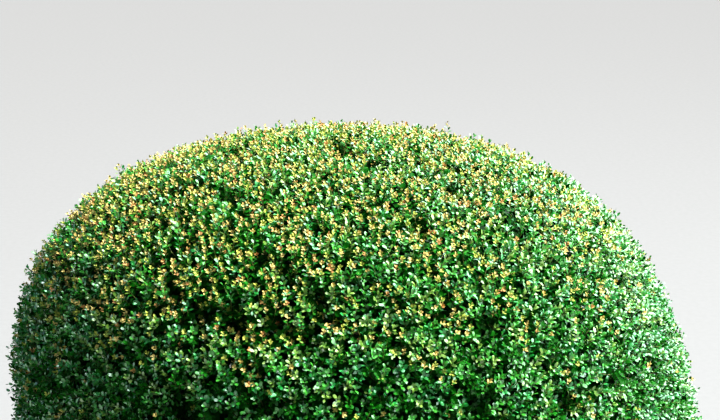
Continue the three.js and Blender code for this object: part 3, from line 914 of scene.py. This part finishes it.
# %% Joined meshes
def joined_mesh(name, points, corners):
    """A smooth-shaded mesh object from points and the point numbers of each face's corners."""
    mesh = bpy.data.meshes.new(name)
    mesh.vertices.add(len(points))
    mesh.vertices.foreach_set("co", np.ascontiguousarray(points, np.float32).ravel())
    mesh.loops.add(corners.size)
    mesh.loops.foreach_set("vertex_index", np.ascontiguousarray(corners, np.int32).ravel())
    mesh.polygons.add(len(corners))
    mesh.polygons.foreach_set("loop_start", np.arange(0, corners.size, corners.shape[1]))
    mesh.update(calc_edges=True)
    mesh.shade_smooth()
    piece = bpy.data.objects.new(name, mesh)
    bpy.context.scene.collection.objects.link(piece)
    return piece


def repeated(faces, count, size):
    """The same faces for each of many copies of a shape with size points."""
    return (faces[None] + size * np.arange(count)[:, None, None]).reshape(-1, faces.shape[1])


def tubes(limbs, sides, stations):
    """Points and faces of tapering tubes along the limbs, closed to a point at the tip."""
    flat = np.cross(limbs.elbow - limbs.start, limbs.tip - limbs.elbow)
    flat = unit(flat + 1e-9 * np.array([0.3, 0.5, 0.8]))
    turn = 2 * math.pi * np.arange(sides) / sides
    points = []
    for share in np.linspace(0, 1, stations, endpoint=False):
        centre, along = limbs.at(share)
        other = np.cross(along, flat)
        ring = np.cos(turn)[:, None] * flat[:, None] + np.sin(turn)[:, None] * other[:, None]
        points.append(centre[:, None] + ring * limbs.radius(share)[:, None, None])
    points = np.concatenate([*points, limbs.tip[:, None]], axis=1)
    side, after = np.arange(sides), (np.arange(sides) + 1) % sides
    last = sides * stations
    faces = []
    for ring in range(stations - 1):
        low, high = ring * sides, (ring + 1) * sides
        faces.append(np.stack([low + side, high + side, high + after], 1))
        faces.append(np.stack([low + side, high + after, low + after], 1))
    low = last - sides
    faces.append(np.stack([low + side, np.full_like(side, last), low + after], 1))
    faces = repeated(np.concatenate(faces), len(points), last + 1)
    return points.reshape(-1, 3), faces


def joined_tubes(name, *orders):
    """One mesh of several orders of limbs, each with its own sides and stations."""
    points, faces, total = [], [], 0
    for limbs, sides, stations in orders:
        some_points, some_faces = tubes(limbs, sides, stations)
        points.append(some_points)
        faces.append(some_faces + total)
        total += len(some_points)
    piece = joined_mesh(name, np.concatenate(points), np.concatenate(faces))
    print(name, len(piece.data.polygons), "triangles")
    return piece


branchwork = joined_tubes("branchwork", (limbs, 8, 8), (branches, 6, 6), (branchlets, 4, 3))
shoot_stems = joined_tubes("shoot_stems", (shoots, 3, 2))

# %% [markdown]
# ## Leaves
#
# A leaf of this holly is a small glossy oval, blunt at the tip and arched along its length. Four
# triangles give that shape, and smooth shading rounds the light over it. The leaves stand round
# each shoot by the golden angle and open wider the older they are, so every shoot ends in a
# small rosette. The oldest leaves are hidden behind the others, and two triangles do for them.

# %% One leaf, many times
# Points (share of the length, share of half the width, lift) of a leaf and of a plainer one
LEAF_SHAPE = np.array(
    [[0, 0, -0.7], [0.34, -0.86, 0], [0.8, -0.8, 0], [1, 0, -1], [0.8, 0.8, 0], [0.34, 0.86, 0]]
)
LEAF_FACES = np.array([[0, 1, 5], [1, 2, 4], [1, 4, 5], [2, 3, 4]])
KITE_SHAPE = np.array([[0.0, 0, -0.7], [0.62, -0.9, 0], [1.0, 0, -1], [0.62, 0.9, 0]])
KITE_FACES = np.array([[0, 1, 2], [0, 2, 3]])


def leaf_points(shape, base, along, face, length, width, cup):
    """Copies of a leaf shape, each with its own place, direction, upper side and size."""
    side = unit(np.cross(face, along))
    face = np.cross(along, side)
    forward = shape[None, :, :1] * (along * length[:, None])[:, None]
    across = shape[None, :, 1:2] * (side * width[:, None] / 2)[:, None]
    lift = shape[None, :, 2:] * (face * cup[:, None])[:, None]
    return base[:, None] + forward + across + lift


def opened(axis, around, open_angle):
    """Directions and upper sides of leaves that stand open_angle away from their shoot."""
    helper = unit(np.cross(axis, np.where(np.abs(axis[:, 2:]) < 0.9, UP, [1.0, 0, 0])))
    other = np.cross(axis, helper)
    outward = np.cos(around)[:, None] * helper + np.sin(around)[:, None] * other
    cos, sin = np.cos(open_angle)[:, None], np.sin(open_angle)[:, None]
    return cos * axis + sin * outward, sin * axis - cos * outward


# %% Which shoots are fresh, and the painted glow of the top
KINDS = ["deep", "cool", "mid", "bright", "young", "gold", "russet"]
FRESH_KINDS = [KINDS.index(name) for name in ("young", "gold", "russet")]
upward = out[:, 2]
bursts = 0.75 * waves(surface, 0.07, 8) + 0.5 * dice.normal(size=SHOOTS) - 0.65 * surface[:, 0]
# Fresh tufts are real new growth, but the low threshold on upward-facing shoots puts extra tufts
# on the top. Their pale colour there is partly painted glow of sunlit and backlit leaves.
fresh_and_glow = (bursts > np.interp(upward, [0, 0.4, 0.7, 0.97], [1.7, 1.2, 0.2, -0.5])) | stray
fresh_kind = dice.choice(FRESH_KINDS, SHOOTS, p=[0.42, 0.48, 0.10])
print(f"{fresh_and_glow.mean():.0%} of the shoots are fresh")

# %% The leaves of every shoot
# Leaves on a shoot, ranked from its tip: all, those of the full shape, those in a tuft
LEAVES, FULL_RANKS, BUD_RANKS = 10, 5, 6
LEAF_LENGTH, LEAF_SPACING = 0.0106, 0.0038
rank = np.tile(np.arange(LEAVES), SHOOTS)
owner = np.repeat(np.arange(SHOOTS), LEAVES)
grown = LEAF_SPACING * rank
budding = np.interp(rank, [0, 5, 6, 9], [0, 0.0070, 0.0100, 0.0210])
from_tip = 0.001 + np.where(fresh_and_glow[owner], budding, grown)
from_tip += 0.0006 * dice.normal(size=len(rank))
share = 1 - from_tip / shoots.length()[owner]
leafy = share > 0.04
rank, owner, share = rank[leafy], owner[leafy], share[leafy]
many = len(rank)
base, axis = shoots.picked(owner).at(share)
spin = dice.uniform(0, 2 * math.pi, SHOOTS)[owner]
around = spin + rank * GOLDEN_ANGLE + 0.2 * dice.normal(size=many)
open_angle = np.radians(30 + 46 * (rank / (LEAVES - 1)) ** 0.8 + 8 * dice.normal(size=many))
along, face = opened(axis, around, open_angle)
face = unit(face + 0.42 * SUNNY + 0.24 * dice.normal(size=(many, 3)))
# Shares of a grown leaf's length, by rank, on plain and on fresh shoots
young = np.interp(rank, [0, 1, 2, 3], [0.62, 0.8, 0.93, 1])
tufted = np.interp(rank, [0, 2, 5, 6, 7], [0.44, 0.54, 0.6, 0.8, 1])
length = LEAF_LENGTH * np.where(fresh_and_glow[owner], tufted, young) * dice.uniform(0.84, 1.14, many)
bud_leaf = fresh_and_glow[owner] & (rank < BUD_RANKS)
width = length * dice.uniform(0.52, 0.64, many) * np.where(bud_leaf, 1.25, 1)
placed = (base, along, face, length, width, 0.1 * length)
leaves = leaf_points(LEAF_SHAPE, *placed)
kites = leaf_points(KITE_SHAPE, *placed)
print(many, "leaves on the shoots")

# %% [markdown]
# ## Leaf colours
#
# Each spray takes one plain colour. Its oldest leaves are deep green and its outer ones anything
# from a deep to a bright green, the bright ones more often where the shoots face up. Fresh sprays
# end in a tuft of small yellow-green, golden or russet leaves. They are common on the top, most
# of all towards its left, and rare on the sides. On the top both are laid on more thickly than
# the
# real growth gives: there the pale colours also stand in for the shine of sunlit and backlit
# leaves, so they are partly painted light.
# A painted attribute could say all this on one mesh. Here every colour is a mesh of its own, so
# each material stays plain and no mesh grows too heavy.

# %% Deal out the colours
MOST_TRIANGLES = 190_000
# The lean of upward-facing shoots towards the brighter greens is partly painted light: it stands
# in for the shine of the sunlit and backlit top.
tone = dice.random(SHOOTS) + 0.28 * ramp(upward, 0, 1) + 0.07 * waves(surface, 0.2, 9)
body_kind = np.digitize(tone, [0.36, 0.58, 0.95])
kind = body_kind[owner].copy()
kind[(rank > 6) & (kind > KINDS.index("cool"))] -= 1
kind[rank > 7] = KINDS.index("deep")
kind[bud_leaf] = fresh_kind[owner[bud_leaf]]

leaf_pieces = []


def add_leaves(name, full, kites):
    """Joined leaves of one colour, in as many meshes as keep each below MOST_TRIANGLES."""
    triangles = len(LEAF_FACES) * len(full) + len(KITE_FACES) * len(kites)
    parts = math.ceil(triangles / MOST_TRIANGLES)
    for part in range(parts):
        some, others = full[part::parts], kites[part::parts]
        faces = repeated(LEAF_FACES, len(some), len(LEAF_SHAPE))
        more = repeated(KITE_FACES, len(others), len(KITE_SHAPE)) + some[..., 0].size
        points = np.concatenate([some.reshape(-1, 3), others.reshape(-1, 3)])
        label = f"leaves_{name}" if parts == 1 else f"leaves_{name}_{part + 1}"
        piece = joined_mesh(label, points, np.concatenate([faces, more]))
        leaf_pieces.append((piece, name))
        print(label, len(some) + len(others), "leaves,", len(faces) + len(more), "triangles")


for number, name in enumerate(KINDS):
    mine = kind == number
    add_leaves(name, leaves[mine & (rank < FULL_RANKS)], kites[mine & (rank >= FULL_RANKS)])

# %% [markdown]
# Behind the shoots older, larger leaves still hang on the branchlets and the branches. They are
# hardly seen, but they close the crown, so that no daylight shows through it.

# %% Inner leaves
CORE = np.array([0, 0, 0.75])


def inner_leaves(hosts, each, first, last, size):
    """Plain leaves along some limbs, turned outward so that they close the crown."""
    owner = np.repeat(np.arange(len(hosts.start)), each)
    share = first + (last - first) * np.tile((np.arange(each) + 0.5) / each, len(hosts.start))
    base, axis = hosts.picked(owner).at(share)
    many = len(owner)
    around = dice.uniform(0, 2 * math.pi, many)
    along, _ = opened(axis, around, np.radians(dice.uniform(50, 95, many)))
    face = unit(base - CORE) + 0.35 * dice.normal(size=(many, 3))
    length = size * dice.uniform(0.85, 1.1, many)
    shape = (base, along, face, length, 0.7 * length, 0.1 * length)
    return leaf_points(KITE_SHAPE, *shape)


inner = [
    inner_leaves(shoots, each=2, first=0.1, last=0.66, size=0.019),
    inner_leaves(branchlets, each=18, first=0.1, last=1, size=0.026),
    inner_leaves(branches, each=120, first=0.1, last=1, size=0.036),
    inner_leaves(limbs, each=120, first=0.3, last=1, size=0.042),
]
add_leaves("inner", leaves[:0], np.concatenate(inner))

# %% [markdown]
# The finish of a leaf is simple at arm's length: a base colour that wanders a little from leaf
# to leaf, and a faint unevenness that breaks the glints up. Full-grown outer leaves have a waxy
# gloss. The deep green, the fresh and the inner ones are much duller.

# %% Leaf finishes
LEAF_SHADES = {
    "deep": ("165c14", "227c1e"),
    "cool": ("168432", "26ac4a"),
    "mid": ("389e2a", "4eb63e"),
    "bright": ("76aa3c", "90be52"),
    "young": ("a2ac4e", "bac668"),
    "gold": ("c8b468", "dac986"),
    "russet": ("c4965c", "d6ac74"),
    "inner": ("0a480a", "105a0c"),
}
WAXY = {"IOR": 1.9, "Specular IOR Level": 1.0, "Specular Tint": (0.93, 1, 0.99, 1)}
WAXY |= {"Coat Weight": 0.4, "Coat IOR": 1.6, "Coat Roughness": 0.3}
DULL = {"Specular IOR Level": 0.25, "Specular Tint": (0.5, 1, 0.4, 1)}
GLOSSY_KINDS = ("cool", "mid", "bright")
for name, (dark, light) in LEAF_SHADES.items():
    finish = Finish(f"leaves_{name}", WAXY if name in GLOSSY_KINDS else DULL)
    wander = finish.noise(70, 2)
    finish.look(
        finish.mix(finish.step(wander, 0.3, 0.7), shade(dark), shade(light)),
        finish.step(wander, 0.3, 0.7, 0.27, 0.36),
    )
    finish.relief(finish.noise(420, 1), 0.25, 0.0004)
    finish.lay_on(*[piece for piece, kind_name in leaf_pieces if kind_name == name])

for piece, _ in leaf_pieces:
    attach(piece, "root")
    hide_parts("foliage_dome")

# %% [markdown]
# ## Litter on the compost
#
# Old leaves drop all year and dry to brown among loose crumbs of compost. Both are laid at the
# mound's own height, so that nothing hovers over it.

# %% Crumbs and fallen leaves
CRUMBS, FALLEN_LEAVES = 1500, 320
LUMP_SHAPE = np.concatenate([np.eye(3), -np.eye(3)])
LUMP_FACES = np.array(
    [[0, 1, 2], [1, 3, 2], [3, 4, 2], [4, 0, 2], [1, 0, 5], [3, 1, 5], [4, 3, 5], [0, 4, 5]]
)


def strewn(count):
    """Random places on the compost, between the trunk's flare and the pot's wall."""
    radius = (FILL_RADIUS - 0.012) * np.sqrt(dice.uniform(0.07, 1, count))
    angle = dice.uniform(0, 2 * math.pi, count)
    points = np.stack([radius * np.cos(angle), radius * np.sin(angle), np.zeros(count)], 1)
    points[:, 2] = compost_height(points)
    return points


places = strewn(CRUMBS)
lumps = LUMP_SHAPE + 0.22 * dice.normal(size=(CRUMBS, len(LUMP_SHAPE), 3))
lumps *= dice.uniform(0.0015, 0.0042, (CRUMBS, 1, 1)) * np.array([1, 1, 0.7])
lump_faces = repeated(LUMP_FACES, CRUMBS, len(LUMP_SHAPE))
crumbs = joined_mesh("compost_crumbs", (places[:, None] + lumps).reshape(-1, 3), lump_faces)
soil.lay_on(crumbs)

places = strewn(FALLEN_LEAVES)
across = unit(dice.normal(size=places.shape) * [1, 1, 0.12])
face = unit(UP + 0.25 * dice.normal(size=places.shape))
length = dice.uniform(0.013, 0.018, FALLEN_LEAVES)
fallen = (places + [0, 0, 0.0034], across, face, length, 0.55 * length, 0.2 * length)
fallen = leaf_points(LEAF_SHAPE, *fallen).reshape(-1, 3)
fallen_faces = repeated(LEAF_FACES, FALLEN_LEAVES, len(LEAF_SHAPE))
litter = joined_mesh("fallen_leaves", fallen, fallen_faces)

dry = Finish("leaves_dry", {"Specular IOR Level": 0.3})
wander = dry.noise(90, 3)
dry.look(
    dry.mix(dry.step(wander, 0.35, 0.65), shade("4c3321"), shade("92704a")),
    dry.step(wander, 0.3, 0.7, 0.65, 0.85),
)
dry.relief(dry.noise(500, 2), 0.4, 0.0005)
dry.lay_on(litter)
for piece in (crumbs, litter):
    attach(piece, "root")
    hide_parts("compost")
print(CRUMBS, "crumbs and", FALLEN_LEAVES, "fallen leaves")

# %% [markdown]
# ## Twigs
#
# Branchlets are grey-brown and matt. This year's shoots are thin and still green. Both are so
# thin that a relief of real geometry would be lost, so a grain of noise is enough. One function
# makes the two finishes, because they differ only in their numbers.

# %% Twig finishes
def stem_finish(name, grain, dark, light, roughness, relief):
    """Two colours mixed by a fine grain, which gives the roughness and the relief too."""
    finish = Finish(name)
    pattern = finish.noise(*grain)
    finish.look(
        finish.mix(pattern, shade(dark), shade(light)),
        finish.step(pattern, 0.3, 0.7, *roughness),
    )
    finish.relief(pattern, *relief)
    return finish


twig_finish = stem_finish(
    "twig_bark", (260, 3), "3f352a", "6a5d4b", roughness=(0.7, 0.88), relief=(0.5, 0.0006)
)
shoot_finish = stem_finish(
    "green_shoots", (150, 2), "4d5a2a", "75803f", roughness=(0.45, 0.6), relief=(0.3, 0.0003)
)
for piece, finish in ((branchwork, twig_finish), (shoot_stems, shoot_finish)):
    finish.lay_on(piece)
    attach(piece, "root")
    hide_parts("foliage_dome")

# %% Sizes and the end
size = {
    "cad": [list(corner) for corner in cad_box],
    "visual": [list(corner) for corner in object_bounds()],
}
for name, corners in size.items():
    print(name, [[round(c, 4) for c in corner] for corner in corners])
